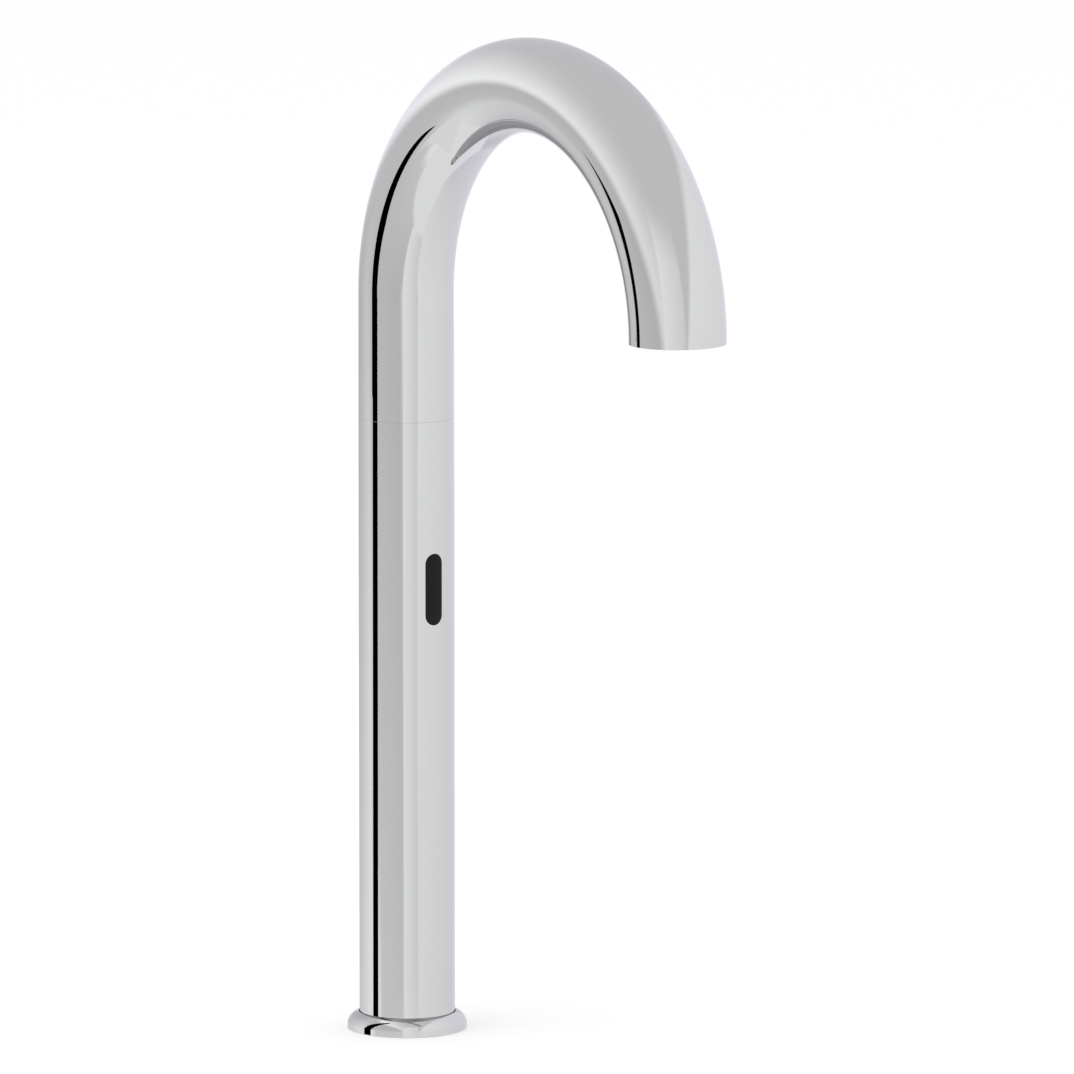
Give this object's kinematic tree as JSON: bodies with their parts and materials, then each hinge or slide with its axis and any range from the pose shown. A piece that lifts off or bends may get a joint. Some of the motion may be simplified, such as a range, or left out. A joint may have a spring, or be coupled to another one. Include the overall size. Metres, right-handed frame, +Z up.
{
  "type": "sensor tap",
  "caption": "Tall touch-free basin tap: round column with a sensor window, domed base ring and a swivelling swan-neck spout with a recessed aerator.",
  "frame": {"origin": "middle of the base ring's underside, at the deck's surface", "axes": "+Z up along the column, -Y towards the outlet and the sensor's view, +X to the tap's right as seen from its front with +Y away"},
  "size_m": [0.045, 0.2115, 0.439],
  "materials": {
    "polished_chrome": "mirror-bright chrome plate",
    "sensor_lens": "black infrared-clear acrylic, polished",
    "black_rubber": "moulded black rubber",
    "raw_brass": "turned brass",
    "copper_tube": "drawn copper tube",
    "stainless_steel": "turned stainless steel",
    "zinc_plated_steel": "pressed zinc-plated steel",
    "white_plastic": "moulded natural acetal",
    "black_plastic": "moulded black nylon",
    "grey_plastic": "moulded grey acetal",
    "circuit_board": "green solder mask",
    "infrared_epoxy": "dark cast epoxy",
    "lead_sheath": "matt cable sheath"
  },
  "bodies": {
    "column": {"base_ring": "polished_chrome", "deck_gasket": "black_rubber", "mounting_shank": "raw_brass", "rubber_washer": "black_rubber", "metal_washer": "stainless_steel", "mounting_nut": "raw_brass", "column_tube": "polished_chrome", "inlet_block": "raw_brass", "inlet_filter": "stainless_steel", "check_valve_body": "white_plastic", "check_valve_seal": "black_rubber", "check_valve_spring": "stainless_steel", "check_valve_guide": "white_plastic", "power_socket": "black_plastic", "valve_seal": "black_rubber", "valve_body": "white_plastic", "valve_bonnet": "white_plastic", "valve_screws": "stainless_steel", "core_tube": "stainless_steel", "fixed_core": "stainless_steel", "plunger_spring": "stainless_steel", "solenoid_coil": "black_plastic", "coil_yoke": "zinc_plated_steel", "coil_nut": "stainless_steel", "riser_tube": "copper_tube", "spout_socket": "raw_brass", "passage_plug": "raw_brass", "swivel_washer": "white_plastic", "spout_set_screw": "stainless_steel", "sensor_window": "sensor_lens", "sensor_gasket": "black_rubber", "sensor_housing": "black_plastic", "sensor_board": "circuit_board", "infrared_emitter": "infrared_epoxy", "infrared_receiver": "infrared_epoxy", "sensor_rear_cover": "black_plastic", "sensor_screws": "stainless_steel", "sensor_clip": "stainless_steel", "sensor_lead": "lead_sheath", "coil_lead": "lead_sheath"},
    "spout": {"spout_tube": "polished_chrome", "spout_stem": "raw_brass", "stem_seals": "black_rubber", "stem_bearing": "white_plastic", "outlet_adapter": "polished_chrome", "adapter_seal": "black_rubber", "aerator_housing": "grey_plastic", "aerator_grid": "grey_plastic", "aerator_mixer": "white_plastic", "aerator_strainer": "white_plastic", "aerator_seal": "black_rubber"},
    "plunger": {"plunger": "stainless_steel", "plunger_seal": "black_rubber"},
    "diaphragm": {"diaphragm_plate": "white_plastic", "diaphragm_membrane": "black_rubber"},
    "check_poppet": {"check_valve_poppet": "white_plastic"}
  },
  "joints": [
    {"name": "spout_swivel", "type": "hinge", "parent": "column", "child": "spout", "pos_m": [0, 0, 0.233], "axis": [0, 0, 1], "range_deg": [-60, 60]},
    {"name": "plunger_lift", "type": "slide", "parent": "column", "child": "plunger", "axis": [0, 0, 1], "range_m": [0, 0.0016], "stiffness_N_per_m": 150, "springref_m": -0.004, "deforming": ["plunger_spring"]},
    {"name": "diaphragm_lift", "type": "slide", "parent": "column", "child": "diaphragm", "axis": [0, 0, 1], "range_m": [0, 0.0012], "deforming": ["diaphragm_membrane"]},
    {"name": "check_valve_lift", "type": "slide", "parent": "column", "child": "check_poppet", "axis": [0, 0, 1], "range_m": [0, 0.002], "stiffness_N_per_m": 60, "springref_m": -0.003, "deforming": ["check_valve_spring"]}
  ],
  "couplings": [
    {"joint": "diaphragm_lift", "follows": "plunger_lift", "ratio": 0.75}
  ]
}
